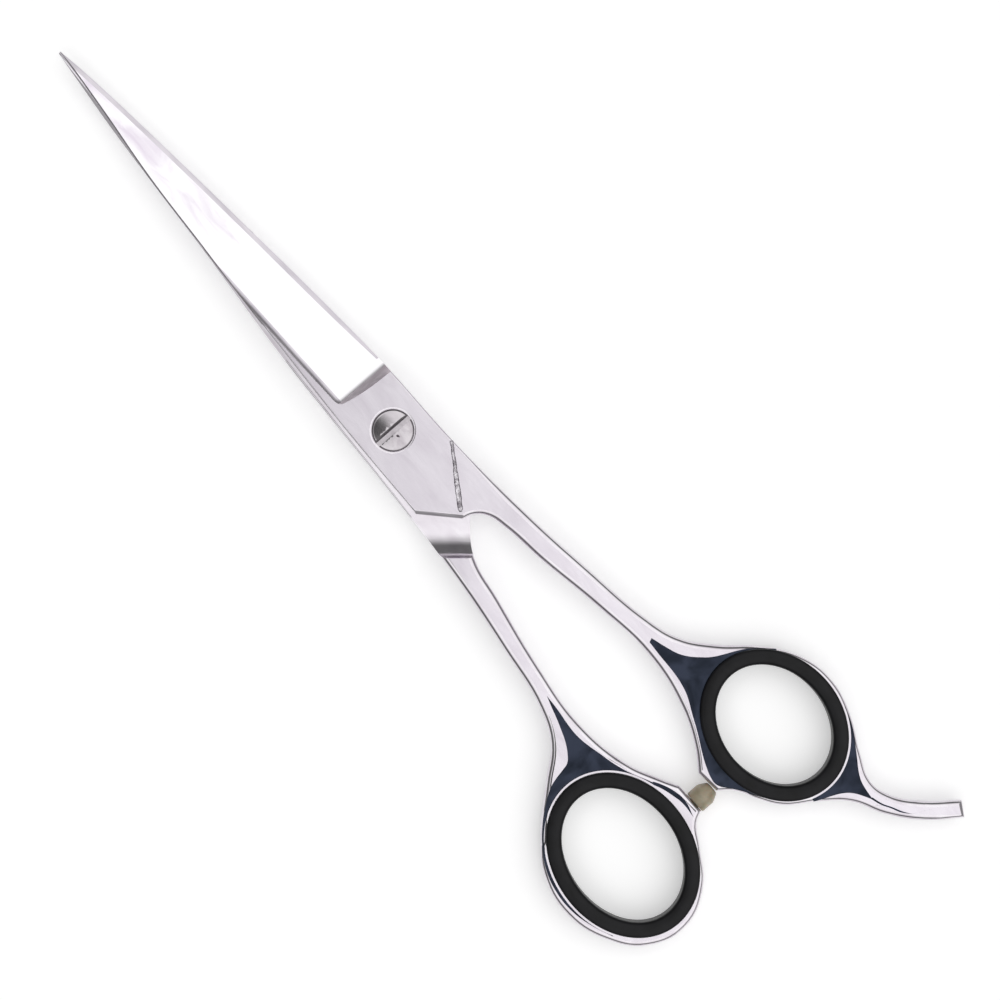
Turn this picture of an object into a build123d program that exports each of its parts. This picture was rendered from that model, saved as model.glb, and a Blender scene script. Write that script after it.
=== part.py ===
"""Hair cutting shears: two pivoted forgings, a slotted pivot screw, rubber ring inserts and a bumper.

Millimetres. The origin is under the pivot axis, on the surface that the closed shears lie on. +X runs
from the pivot to the blade tips, +Y towards the thumb ring and +Z out of the front face.

Both forgings are made face up: outer face upward, cutting edge on the -Y side, riding plane at z = 0.
The finger half is then lifted to the riding height, and the thumb half is turned over about X first.
"""

from math import radians, sin, cos
import os

from build123d import *

# Thickness of the forgings, measured from the riding plane where the two blades slide.
BLOCK_RISE = 2.82          # outer face of the pivot block
HANDLE_RISE = 2.05         # half of the thickness of the shanks and rings
TANG_RISE = 1.5            # half of the thickness at the free end of the tang
RIDE_GAP = 0.03            # half of the clearance between the two riding faces
RIDING_HEIGHT = BLOCK_RISE + RIDE_GAP

# Blades.
TIP_X = 82.6
HEEL_X = 7.5               # where the pivot block ends and the blade's ground facet begins
FACET_X = 9.3              # where the concave step down to the facet is complete
EDGE_THICKNESS = 0.12
HOLLOW_DEPTH = 0.22        # hollow grind on the inner face, between the edge and the spine

# Pivot.
SCREW_HEAD_R = 3.5
COUNTERBORE_R = 3.62
COUNTERBORE_DEPTH = 1.55
SHOULDER_R = 2.5           # plain bearing part of the screw, turning in the finger half
THREAD_R = 2.0             # the part of the screw that is held in the thumb half
RUNNING_CLEARANCE = 0.04
SCREW_DOME = 0.28
PUNCH_X = -1.2             # dot punched beside the slot
PUNCH_R = 0.3
SLOT_WIDTH = 1.1
SLOT_DEPTH = 0.8
WASHER_THICKNESS = 0.3
WASHER_R = 3.3

# Relief under each block that lets the other half's tail swing.
RELIEF_START = 14.8        # distance from the pivot where the scoop leaves the riding plane
RELIEF_R = 8.0
RELIEF_TURN = 52           # arc of the scoop, enough to run out of the shank's face
RELIEF_ANGLE = 220.75      # direction of the scoop, seen from the pivot

# V groove in the face of the front block.
GROOVE_START = (-7.7, -6.1)
GROOVE_END = (-17.3, 0.4)
GROOVE_WIDTH = 0.7
GROOVE_DEPTH = 0.3

# Rings: centre x and y, half length, half width and tilt of the finger opening inside the rubber.
FINGER_RING = (-77.2, -15.55, 10.75, 8.6, 0.0)
THUMB_RING = (-77.05, -17.05, 11.8, 9.0, 5.5)
GROOVE_OFFSET = 1.45       # from the rubber's opening to the bottom of its groove
FLANGE_OFFSET = 2.6        # from the rubber's opening to the outside of its flanges
GROOVE_CLEARANCE = 0.03
RUBBER_ROUND = 0.5
WEB_DEPTH = 0.55           # hollowed panels beside the rings, below the ring's rim
WEB_LAND = 0.35            # rim left between a panel and the rubber flange

# Bumper on the thumb ring, pointing at the pad on the finger ring.
BUMPER_X = -78.4
BUMPER_R = 1.95
BUMPER_TOP = 2.62          # where its shoulder sits on the thumb ring's pad
BUMPER_NECK = 0.3          # where it starts to taper
BUMPER_END = -1.17
BUMPER_TIP_R = 1.05
BUMPER_STEM_R = 1.0
BUMPER_STEM = 2.0

# Outlines, front faces up, as runs of points. Each run is one smooth curve.
FINGER_OUTLINE = (
    [(HEEL_X, 5.7), (-2, 6.1), (-12.8, 6.1)],
    [(-12.8, 6.1), (-18.3, 0.9)],
    [(-18.3, 0.9), (-19.0, -1.0), (-20.7, -2.6), (-24, -3.5), (-32, -4.5), (-44, -6.5), (-55, -7.6),
     (-65, -6.1), (-71.5, -3.4), (-75, -1.05)],
    [(-75, -1.05), (-79.2, -1.4)],
    [(-79.2, -1.4), (-81.3, -3.8), (-84.5, -5.5), (-88, -8), (-91.5, -13), (-95, -16.9),
     (-100, -19.6), (-105, -23.8), (-109.1, -29.2)],
    [(-109.1, -29.2), (-106.6, -30.7)],
    [(-106.6, -30.7), (-102, -25.2), (-98, -22.2), (-94.5, -21.4), (-90, -23.1), (-84, -26.1),
     (-78, -27.5), (-72, -26.4), (-66, -22.3), (-61, -16.9), (-56, -13.0), (-50, -11.1), (-38, -9.3),
     (-24, -7.55), (-8, -6.35), (HEEL_X, -6.0)],
    [(HEEL_X, -6.0), (HEEL_X, 5.7)],
)
THUMB_OUTLINE = (
    [(HEEL_X, 5.7), (-2, 6.0), (-12.8, 6.1)],
    [(-12.8, 6.1), (-18.3, 0.9)],
    [(-18.3, 0.9), (-20.4, -1.1), (-24.4, -3.6), (-32, -5.1), (-45, -7.4), (-56, -8.45), (-66, -6.9),
     (-71.5, -4.4), (-74.6, -2.7)],
    [(-74.6, -2.7), (-80, -2.7)],
    [(-80, -2.7), (-81.0, -4.5), (-84.5, -6.8), (-89.5, -10.5), (-92.6, -17), (-90.8, -23.8),
     (-85.8, -28.1), (-78.5, -30.3), (-71, -28.9), (-65.5, -24.9), (-60, -19), (-55.5, -14.1),
     (-50, -11.6), (-39, -9.8), (-24, -7.9), (-8, -6.95), (HEEL_X, -6.45)],
    [(HEEL_X, -6.45), (HEEL_X, 5.7)],
)

# Blade stations from heel to tip: x, y of the spine, y of the cutting edge, height of the spine.
FINGER_BLADE = (
    (FACET_X, 5.5, -6.15, 2.8),
    (18.0, 5.2, -5.6, 2.66),
    (28.0, 4.75, -4.85, 2.45),
    (42.0, 4.0, -3.7, 2.1),
    (57.0, 3.1, -2.35, 1.7),
    (68.0, 1.95, -1.4, 1.25),
    (77.0, 1.0, -0.35, 0.8),
    (TIP_X, 0.75, 0.55, 0.45),
)
THUMB_BLADE = (
    (FACET_X, 5.6, -6.35, 2.8),
    (18.0, 5.2, -6.0, 2.66),
    (28.0, 4.6, -5.2, 2.45),
    (42.0, 3.45, -4.2, 2.1),
    (57.0, 2.1, -3.2, 1.7),
    (68.0, 1.15, -2.4, 1.25),
    (77.0, 0.1, -1.5, 0.8),
    (TIP_X, -0.7, -0.98, 0.45),
)
RIDGE_INSET = (0.95, 0.75, 0.5, 0.4, 0.35, 0.3, 0.2, 0.06)   # flat strip left along the spine

# Hollowed panels beside the rings, front faces up: the last two points lie inside the ring.
FINGER_WEBS = (
    [(-53.3, -9.3), (-60, -8.7), (-67, -6.6), (-72, -4.4), (-77, -15.5), (-66, -21.4), (-62.5, -16),
     (-58.3, -11.6)],
    [(-78.2, -2.0), (-82, -4.6), (-77, -15.5), (-72, -4.4), (-75, -2.7)],
    [(-97, -19.7), (-94, -18), (-92.2, -15.3), (-90.2, -11), (-77, -15.5), (-86, -24.7), (-90, -22.3),
     (-93.5, -20.3)],
)
THUMB_WEBS = (
    [(-49.3, -9.4), (-54, -11.0), (-59.7, -13.9), (-61, -18.6), (-64, -23), (-77, -17.1), (-70, -6.2),
     (-62, -9.05), (-56, -10.0)],
)


def loop(runs):
    """The face inside a closed loop of runs, each a line or one smooth curve through its points."""
    edges = [Line(*run) if len(run) == 2 else Spline(*run) for run in runs]
    return make_face(edges)


def ring_face(ring, offset):
    """The oval of a finger ring, grown by an offset from the rubber's opening."""
    x, y, half_length, half_width, tilt = ring
    return Pos(x, y) * Rot(0, 0, tilt) * Ellipse(half_length + offset, half_width + offset)


def tall(face, low, high):
    """A face in the plan, as a solid between two heights."""
    return Pos(0, 0, low) * extrude(face, high - low)


def side_profile(has_tang):
    """The side view of a half: full height at the block, thinner towards the ring and the tang."""
    end = -110 if has_tang else -94
    end_rise = TANG_RISE if has_tang else HANDLE_RISE
    top = [(HEEL_X, BLOCK_RISE), (-24, BLOCK_RISE), (-56, HANDLE_RISE), (-93, HANDLE_RISE), (end, end_rise)]
    bottom = [(x, -z) for x, z in reversed(top)]
    side = Polyline(*top, *bottom, close=True)
    return extrude(Plane.XZ * make_face(side), 40, both=True)


def relief():
    """What the other half's block sweeps: all below the riding plane, with a concave run-out."""
    low = -BLOCK_RISE - 1

    def on_scoop(turn):
        angle = radians(turn)
        return (RELIEF_START + RELIEF_R * sin(angle), RIDE_GAP - RELIEF_R * (1 - cos(angle)))

    start = on_scoop(0)
    end = on_scoop(RELIEF_TURN)
    profile = make_face([
        Line((-120, RIDE_GAP), start),
        ThreePointArc(start, on_scoop(RELIEF_TURN / 2), end),
        Line(end, (end[0], low)),
        Line((end[0], low), (-120, low)),
        Line((-120, low), (-120, RIDE_GAP)),
    ])
    upright = Plane(origin=(0, 0, 0), x_dir=(1, 0, 0), z_dir=(0, -1, 0))
    return Rot(0, 0, RELIEF_ANGLE) * extrude(upright * profile, 60, both=True)


def blade_station(x, spine, edge, rise, ridge):
    """One cross-section of the blade: hollow inner face, spine, flat strip and ground facet."""
    middle = (spine + edge) / 2
    hollow = HOLLOW_DEPTH * min(1.0, (spine - edge) / 8)
    corners = [
        (x, edge, RIDE_GAP),
        (x, middle, RIDE_GAP + hollow),
        (x, spine, RIDE_GAP),
        (x, spine, rise),
        (x, spine - ridge, rise),
        (x, edge, RIDE_GAP + EDGE_THICKNESS),
    ]
    return make_face(Polyline(*corners, close=True))


def heel_station(spine, edge):
    """The blade's first cross-section, against the block: still at the block's full height."""
    corners = [
        (HEEL_X, edge, RIDE_GAP),
        (HEEL_X, 0, RIDE_GAP),
        (HEEL_X, spine, RIDE_GAP),
        (HEEL_X, spine, BLOCK_RISE),
        (HEEL_X, spine - 1.5, BLOCK_RISE),
        (HEEL_X, edge, BLOCK_RISE - 0.3),
    ]
    return make_face(Polyline(*corners, close=True))


def blade(stations, heel_spine, heel_edge):
    """The ground blade, from the block's step to the tip."""
    sections = [heel_station(heel_spine, heel_edge)]
    for (x, spine, edge, rise), ridge in zip(stations, RIDGE_INSET):
        sections.append(blade_station(x, spine, edge, rise, ridge))
    return loft(sections, ruled=True)


def webs(runs, ring):
    """Hollowed panels in both faces, kept clear of the rim around the rubber."""
    keep = ring_face(ring, FLANGE_OFFSET + WEB_LAND)
    cutters = []
    for points in runs:
        panel = make_face(Polyline(*points, close=True)) - keep
        for low in (HANDLE_RISE - WEB_DEPTH, -HANDLE_RISE - 2):
            cutters.append(tall(panel, low, low + 2 + WEB_DEPTH))
    return cutters


def forging(outline, has_tang, stations, web_runs, ring):
    """One half, face up: block, shank and ring from plan and side view, then the blade."""
    plan = tall(loop(outline), -BLOCK_RISE, BLOCK_RISE)
    body = plan & side_profile(has_tang)
    body -= relief()
    body -= tall(ring_face(ring, GROOVE_OFFSET), -5, 5)
    for cutter in webs(web_runs, ring):
        body -= cutter
    spine = outline[-1][1][1]
    edge = outline[-1][0][1]
    body += blade(stations, spine, edge)
    return body


def groove_cutter():
    """V groove across the front of the block, from the edge side towards the shank's root."""
    run = Vector(*GROOVE_END) - Vector(*GROOVE_START)
    section = Plane(origin=(*GROOVE_START, BLOCK_RISE), x_dir=(-run.Y, run.X, 0), z_dir=run)
    corners = [(-GROOVE_WIDTH / 2, 0.01), (GROOVE_WIDTH / 2, 0.01), (0, -GROOVE_DEPTH)]
    return extrude(section * make_face(Polyline(*corners, close=True)), run.length)


def finger_half():
    """Front half, with the finger ring, tang, screw seat and the bumper's pad."""
    body = forging(FINGER_OUTLINE, True, FINGER_BLADE, FINGER_WEBS, FINGER_RING)
    body -= Pos(0, 0, -1) * extrude(Circle(SHOULDER_R + RUNNING_CLEARANCE), 6)
    body -= Pos(0, 0, BLOCK_RISE - COUNTERBORE_DEPTH) * extrude(Circle(COUNTERBORE_R), 4)
    body -= groove_cutter()
    return Pos(0, 0, RIDING_HEIGHT) * body


def thumb_half():
    """Rear half, turned over: threaded seat for the screw, thumb ring and the bumper's socket."""
    body = forging(THUMB_OUTLINE, False, THUMB_BLADE, THUMB_WEBS, THUMB_RING)
    body -= Pos(0, 0, -1) * extrude(Circle(THREAD_R + RUNNING_CLEARANCE), 6)
    body = Pos(0, 0, RIDING_HEIGHT) * Rot(180, 0, 0) * body
    socket = Cylinder(BUMPER_STEM_R + 0.02, BUMPER_STEM + 0.6, align=(Align.CENTER, Align.CENTER, Align.MIN))
    return body - Pos(BUMPER_X, BUMPER_TOP - 0.4, RIDING_HEIGHT) * Rot(-90, 0, 0) * socket


def pivot_screw():
    """Slotted screw: domed head in the counterbore, plain shoulder, and a thread in the thumb half."""
    head_low = RIDING_HEIGHT + BLOCK_RISE - COUNTERBORE_DEPTH + WASHER_THICKNESS + 0.06
    rim_high = RIDING_HEIGHT + BLOCK_RISE + 0.02
    crown = rim_high + SCREW_DOME
    shoulder_low = RIDING_HEIGHT + RIDE_GAP
    profile = make_face([
        Line((0, 0), (THREAD_R, 0)),
        Line((THREAD_R, 0), (THREAD_R, shoulder_low)),
        Line((THREAD_R, shoulder_low), (SHOULDER_R, shoulder_low)),
        Line((SHOULDER_R, shoulder_low), (SHOULDER_R, head_low)),
        Line((SHOULDER_R, head_low), (SCREW_HEAD_R, head_low)),
        Line((SCREW_HEAD_R, head_low), (SCREW_HEAD_R, rim_high)),
        ThreePointArc((SCREW_HEAD_R, rim_high), (SCREW_HEAD_R / 2, rim_high + 0.75 * SCREW_DOME), (0, crown)),
        Line((0, crown), (0, 0)),
    ])
    screw = revolve(Plane.XZ * profile, Axis.Z)
    slot = Pos(0, 0, crown) * Box(SLOT_WIDTH, 3 * SCREW_HEAD_R, 2 * SLOT_DEPTH)
    punch = Pos(PUNCH_X, 0, crown) * Sphere(PUNCH_R)
    return screw - slot - punch


def tension_washer():
    """Flat washer under the screw head, at the bottom of the counterbore."""
    floor = RIDING_HEIGHT + BLOCK_RISE - COUNTERBORE_DEPTH + 0.02
    ring = Circle(WASHER_R) - Circle(SHOULDER_R + 0.12)
    return tall(ring, floor, floor + WASHER_THICKNESS)


def ring_insert(ring):
    """Rubber insert, face up about the riding plane, with a groove that holds the metal ring."""
    body = tall(ring_face(ring, FLANGE_OFFSET), -RIDING_HEIGHT, RIDING_HEIGHT)
    body -= tall(ring_face(ring, 0), -5, 5)
    body = fillet(body.edges().filter_by(Plane.XY), RUBBER_ROUND)
    groove = ring_face(ring, FLANGE_OFFSET + 1) - ring_face(ring, GROOVE_OFFSET - GROOVE_CLEARANCE)
    groove_rise = HANDLE_RISE + GROOVE_CLEARANCE
    return body - tall(groove, -groove_rise, groove_rise)


def finger_ring_insert():
    return Pos(0, 0, RIDING_HEIGHT) * ring_insert(FINGER_RING)


def thumb_ring_insert():
    return Pos(0, 0, RIDING_HEIGHT) * Rot(180, 0, 0) * ring_insert(THUMB_RING)


def bumper():
    """Silicone bumper: stem in the thumb ring's socket, round body, tapered end near the finger pad."""
    profile = make_face(Polyline(
        (0, BUMPER_TOP + BUMPER_STEM),
        (BUMPER_STEM_R, BUMPER_TOP + BUMPER_STEM),
        (BUMPER_STEM_R, BUMPER_TOP),
        (BUMPER_R, BUMPER_TOP),
        (BUMPER_R, BUMPER_NECK),
        (BUMPER_TIP_R, BUMPER_END),
        (0, BUMPER_END),
        close=True,
    ))
    return Pos(BUMPER_X, 0, RIDING_HEIGHT) * revolve(profile, Axis.Y)


def main():
    """Write one STEP file for each piece."""
    pieces = {
        "finger_half": finger_half(),
        "thumb_half": thumb_half(),
        "pivot_screw": pivot_screw(),
        "tension_washer": tension_washer(),
        "finger_ring_insert": finger_ring_insert(),
        "thumb_ring_insert": thumb_ring_insert(),
        "bumper": bumper(),
    }
    os.makedirs("parts", exist_ok=True)
    for name, piece in pieces.items():
        export_step(piece, f"parts/{name}.step")


main()
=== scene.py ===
# %% [markdown]
# # Hair cutting shears
# A pair of barber's shears is two steel forgings that turn on one screw. Each forging is blade, pivot
# block, shank and finger ring in one piece. This lesson models them much as a cutler makes them: an
# outline is traced, given its thickness, rounded along its edges, and then cut with tools of the right
# shape. Every cut leaves its own finish behind, because a Boolean can hand the tool's material on.

# %% Load the frame that every piece must fit
import math
import random

import bpy
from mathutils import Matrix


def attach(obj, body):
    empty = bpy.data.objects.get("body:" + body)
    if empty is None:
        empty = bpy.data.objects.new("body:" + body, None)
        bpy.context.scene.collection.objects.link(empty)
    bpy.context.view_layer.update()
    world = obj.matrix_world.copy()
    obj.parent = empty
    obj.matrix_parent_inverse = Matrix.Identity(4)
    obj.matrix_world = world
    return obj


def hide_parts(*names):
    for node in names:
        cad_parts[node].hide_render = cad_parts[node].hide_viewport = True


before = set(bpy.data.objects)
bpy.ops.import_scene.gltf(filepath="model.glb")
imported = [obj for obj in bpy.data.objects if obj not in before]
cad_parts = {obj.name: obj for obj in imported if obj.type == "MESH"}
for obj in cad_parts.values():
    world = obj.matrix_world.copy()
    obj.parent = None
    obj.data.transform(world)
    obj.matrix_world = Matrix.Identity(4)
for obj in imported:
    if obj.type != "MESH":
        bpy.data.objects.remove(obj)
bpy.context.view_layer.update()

MM = 0.001

# %% [markdown]
# ## Small helpers
# Operators act on whatever is selected and active, so each step first says which object it is about.
# Faces and edges are then picked by their place, which is what a person does with the mouse.
# The pieces are modelled at one unit to the millimetre, because the operators merge points that are
# closer than a tenth of a thousandth of a unit. A finished piece is scaled to metres as it is settled.

# %% Selecting, as with the mouse
def pick(piece):
    """Select one object and nothing else, in Object Mode."""
    if bpy.context.object and bpy.context.object.mode != "OBJECT":
        bpy.ops.object.mode_set(mode="OBJECT")
    bpy.ops.object.select_all(action="DESELECT")
    piece.select_set(True)
    bpy.context.view_layer.objects.active = piece
    return piece


def select_parts(piece, kind, wanted):
    """In Edit Mode, select the vertices, edges or faces whose centre and normal pass a test."""
    pick(piece)
    bpy.ops.object.mode_set(mode="EDIT")
    bpy.ops.mesh.select_mode(type=kind)
    bpy.ops.mesh.select_all(action="DESELECT")
    bpy.ops.object.mode_set(mode="OBJECT")
    mesh = piece.data
    chosen = 0
    if kind == "FACE":
        for face in mesh.polygons:
            face.select = wanted(face.center, face.normal)
            chosen += face.select
    elif kind == "EDGE":
        for edge in mesh.edges:
            start, end = (mesh.vertices[i].co for i in edge.vertices)
            edge.select = wanted((start + end) / 2, (end - start).normalized())
            chosen += edge.select
    else:
        for vertex in mesh.vertices:
            vertex.select = wanted(vertex.co, vertex.normal)
            chosen += vertex.select
    bpy.ops.object.mode_set(mode="EDIT")
    return chosen


def apply_modifier(piece, kind, **settings):
    """Add one modifier with its settings, and apply it."""
    pick(piece)
    modifier = piece.modifiers.new(kind.title(), kind)
    for key, value in settings.items():
        setattr(modifier, key, value)
    bpy.ops.object.modifier_apply(modifier=modifier.name)


def cut(body, tool):
    """Take a tool's shape out of a body. The cut faces keep the tool's material."""
    apply_modifier(body, "BOOLEAN", object=tool, operation="DIFFERENCE", solver="MANIFOLD",
                   material_mode="TRANSFER")
    bpy.data.objects.remove(tool)


def settle(piece, scale=1.0):
    """Put the object's place, turn and scale into its mesh."""
    pick(piece)
    piece.location *= scale
    piece.scale *= scale
    bpy.ops.object.transform_apply(location=True, rotation=True, scale=True)
    return piece


# %% [markdown]
# ## Finishes
# Stainless steel has one colour but many finishes, and they are what the eye reads. The flats are
# satin from a fine belt, the blade's facet is ground and nearly white, the edges are buffed, and the
# hollows beside the rings are polished like a mirror; their near-black colour is a painted dark
# reflection, put into the base colour. Each finish is a metal shader with its own roughness and its
# own grain. The grain is drawn in real millimetres.

# %% Colours and nodes
def linear(code, alpha=1.0):
    """Turn an sRGB hex colour into the linear values that shaders use."""
    values = [int(code[i:i + 2], 16) / 255 for i in (1, 3, 5)]
    return tuple(v / 12.92 if v <= 0.04045 else ((v + 0.055) / 1.055) ** 2.4 for v in values) + (alpha,)


def add_node(tree, kind, settings=None, links=None):
    """Add one node: settings fill its properties or sockets, links feed its sockets."""
    node = tree.nodes.new(kind)
    for key, value in (settings or {}).items():
        if hasattr(node, str(key)):
            setattr(node, key, value)
        else:
            node.inputs[key].default_value = value
    for key, source in (links or {}).items():
        tree.links.new(source, node.inputs[key])
    return node


def new_finish(name, **settings):
    """A material with one Principled shader, and that shader's fixed values."""
    material = bpy.data.materials.new(name)
    material.use_nodes = True
    shader = material.node_tree.nodes["Principled BSDF"]
    for key, value in settings.items():
        shader.inputs[key.replace("_", " ")].default_value = value
    return material, material.node_tree, shader


def grain(tree, shader, size, depth, rough):
    """Noise stretched over a size in mm on each axis, as relief and as a range of roughness.

    Gives back the coordinates, so that other patterns can start from them.
    """
    place = add_node(tree, "ShaderNodeTexCoord")
    stretch = add_node(tree, "ShaderNodeMapping", {"Scale": [1 / (s * MM) for s in size]},
                       {"Vector": place.outputs["Object"]})
    noise = add_node(tree, "ShaderNodeTexNoise", {"Scale": 1.0, "Detail": 3.0},
                     {"Vector": stretch.outputs["Vector"]})
    relief = add_node(tree, "ShaderNodeBump", {"Strength": 1.0, "Distance": depth * MM},
                      {"Height": noise.outputs["Fac"]})
    tree.links.new(relief.outputs["Normal"], shader.inputs["Normal"])
    spread = add_node(tree, "ShaderNodeMapRange", {"To Min": rough[0], "To Max": rough[1]},
                      {"Value": noise.outputs["Fac"]})
    tree.links.new(spread.outputs["Result"], shader.inputs["Roughness"])
    return place


def mottle(tree, shader, place, size, light, dark):
    """Vary the base colour softly over a size in mm, between two colours.

    Gives back the noise and the ramp, so that a finish can put something between them.
    """
    stretch = add_node(tree, "ShaderNodeMapping", {"Scale": [1 / (s * MM) for s in size]},
                       {"Vector": place.outputs["Object"]})
    cloud = add_node(tree, "ShaderNodeTexNoise", {"Scale": 1.0, "Detail": 4.0, "Distortion": 0.6},
                     {"Vector": stretch.outputs["Vector"]})
    ramp = add_node(tree, "ShaderNodeValToRGB", links={"Fac": cloud.outputs["Fac"]})
    ramp.color_ramp.elements[0].position = 0.32
    ramp.color_ramp.elements[0].color = linear(dark)
    ramp.color_ramp.elements[1].position = 0.62
    ramp.color_ramp.elements[1].color = linear(light)
    tree.links.new(ramp.outputs["Color"], shader.inputs["Base Color"])
    return cloud, ramp


# %% Satin, ground, buffed and mirror-polished steel
# Stainless steel, belt-finished along its length: soft lilac-grey flats.
satin_steel, tree, shader = new_finish("satin_stainless_steel", Metallic=1.0)
place = grain(tree, shader, (3.0, 0.5, 1.0), 0.0012, rough=(0.17, 0.26))
mottle(tree, shader, place, (9.0, 3.5, 4.0), "#D9D4DB", "#CFC9D1")

# Stainless steel, wheel-ground across the blade: the brightest surface. Lilac clouds gather on it
# towards the tip, where the wheel has run warm.
ground_steel, tree, shader = new_finish("ground_stainless_facet", Metallic=1.0)
place = grain(tree, shader, (1.2, 9.0, 1.0), 0.0015, rough=(0.14, 0.22))
cloud, ramp = mottle(tree, shader, place, (8.0, 2.5, 4.0), "#EAE8EB", "#D3CBD6")
axes = add_node(tree, "ShaderNodeSeparateXYZ", links={"Vector": place.outputs["Object"]})
warm = add_node(tree, "ShaderNodeMapRange",
                {"From Min": 28 * MM, "From Max": 70 * MM, "To Min": 0.3, "To Max": -0.03},
                {"Value": axes.outputs["X"]})
clouded = add_node(tree, "ShaderNodeMath", {"operation": "ADD"},
                   {0: cloud.outputs["Fac"], 1: warm.outputs["Result"]})
tree.links.new(clouded.outputs["Value"], ramp.inputs["Fac"])

# Stainless steel, cut by a coarse wheel: the scooped step at the blade's heel, darker and browner.
scoop_steel, tree, shader = new_finish("wheel_cut_stainless_step", Metallic=1.0)
place = grain(tree, shader, (0.4, 3.0, 0.6), 0.003, rough=(0.48, 0.6))
mottle(tree, shader, place, (1.2, 4.0, 2.0), "#F2E9F0", "#CFC4CC")

# Stainless steel, honed on a flat stone: the narrow bands along the blade, matt grey beside the facet.
honed_steel, tree, shader = new_finish("honed_stainless_band", Metallic=1.0)
place = grain(tree, shader, (3.0, 0.4, 0.6), 0.001, rough=(0.26, 0.36))
mottle(tree, shader, place, (6.0, 2.0, 2.0), "#D2CDD3", "#BEB9C0")

# Stainless steel, buffed on a soft wheel: glossy edges that show a crisp dark line.
buffed_steel, tree, shader = new_finish("buffed_stainless_edge", Metallic=1.0)
place = grain(tree, shader, (2.0, 2.0, 1.0), 0.0006, rough=(0.07, 0.12))
mottle(tree, shader, place, (8.0, 3.0, 3.0), "#DCD8DD", "#CEC8CF")

# Stainless steel, mirror-polished: its nearly black base colour, with a blue cast and fine specks, is a
# painted dark reflection.
mirror_steel_painted_dark, tree, shader = new_finish("mirror_hollow_painted_dark_reflection", Metallic=1.0)
place = grain(tree, shader, (1.6, 1.6, 1.6), 0.002, rough=(0.12, 0.24))
mottle(tree, shader, place, (4.5, 4.5, 4.5), "#333845", "#1E222A")
print("steel finishes:", [finish.name for finish in (satin_steel, ground_steel, scoop_steel, honed_steel,
                                                     buffed_steel, mirror_steel_painted_dark)])

# %% Screw steel, rubber and silicone
# Carbon steel, turned and polished: a darker grey than the forgings. The fine rings left by turning
# draw its highlights out into bright and dark wedges.
screw_steel, tree, shader = new_finish("turned_screw_steel", Metallic=1.0, Anisotropic=0.5)
place = grain(tree, shader, (1.5, 1.5, 1.0), 0.001, rough=(0.14, 0.2))
mottle(tree, shader, place, (3.0, 2.0, 2.0), "#C6C1C5", "#AFA9AE")
rings = add_node(tree, "ShaderNodeTangent", {"direction_type": "RADIAL", "axis": "Z"})
tree.links.new(rings.outputs["Tangent"], shader.inputs["Tangent"])

# Stainless steel as the file leaves it: ragged relief, whose bright and dark glints are partly real, from
# the relief, and partly painted highlights and painted dark reflections in the strongly mottled base
# colour.
groove_steel, tree, shader = new_finish("filed_groove_steel", Metallic=1.0)
place = grain(tree, shader, (0.45, 0.45, 0.45), 0.16, rough=(0.2, 0.34))
mottle(tree, shader, place, (0.7, 0.7, 0.7), "#DAD6DB", "#79737A")

# Nitrile rubber, moulded: matt black with a weak sheen.
rubber, tree, shader = new_finish("moulded_black_rubber", Specular_IOR_Level=0.22)
place = grain(tree, shader, (0.5, 0.5, 0.5), 0.004, rough=(0.34, 0.46))
mottle(tree, shader, place, (3.0, 3.0, 3.0), "#151518", "#0C0C0E")

# Silicone, moulded: translucent olive, darker where it is thick.
silicone, tree, shader = new_finish("olive_silicone", Subsurface_Weight=0.4, Subsurface_Scale=0.0015)
place = grain(tree, shader, (0.8, 0.8, 0.8), 0.004, rough=(0.26, 0.38))
mottle(tree, shader, place, (2.2, 2.2, 2.2), "#A99F88", "#8B826B")

# %% [markdown]
# ## Sizes that the halves share
# Both forgings are modelled face up: the outer face is up, the cutting edge is on the -Y side, and the
# riding plane, where the two blades slide on each other, is at z = 0. The finger half is then lifted
# into place, and the thumb half is turned over first.

# %% Thicknesses and pivot
BLOCK_RISE = 2.82
HANDLE_RISE = 2.05
TANG_RISE = 1.5
RIDE_GAP = 0.03
RIDING_HEIGHT = BLOCK_RISE + RIDE_GAP
SHOULDER_R = 2.54
THREAD_R = 2.04
COUNTERBORE_R = 3.62
COUNTERBORE_DEPTH = 1.55
print("riding plane at", RIDING_HEIGHT, "mm")

# %% [markdown]
# ## Tracing an outline
# A forging's shape is its outline. It is traced with a Bezier curve whose points carry automatic
# handles, so that long runs stay fair, and straight handles at the corners. A mesh drawn point by
# point would show every small error of the hand in its highlights. The curve becomes a loop of edges,
# the loop becomes one face, and the face is extruded to its thickness.

# %% From a traced curve to a plate
def trace(name, runs, resolution=7):
    """A closed loop of edges along smooth runs of points in mm, with a corner where two runs meet."""
    bpy.ops.object.select_all(action="DESELECT")
    bpy.ops.curve.primitive_bezier_curve_add(location=(0, 0, 0))
    curve = bpy.context.object
    curve.data.resolution_u = resolution
    spline = curve.data.splines[0]
    points = [(point, i == 0) for run in runs for i, point in enumerate(run[:-1])]
    spline.bezier_points.add(len(points) - 2)
    for knot, (place, corner) in zip(spline.bezier_points, points):
        knot.co = (place[0], place[1], 0)
        knot.handle_left_type = knot.handle_right_type = "VECTOR" if corner else "AUTO"
    spline.use_cyclic_u = True
    pick(curve)
    bpy.ops.object.convert(target="MESH")
    outline = bpy.context.object
    outline.name = outline.data.name = name
    return outline


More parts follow.
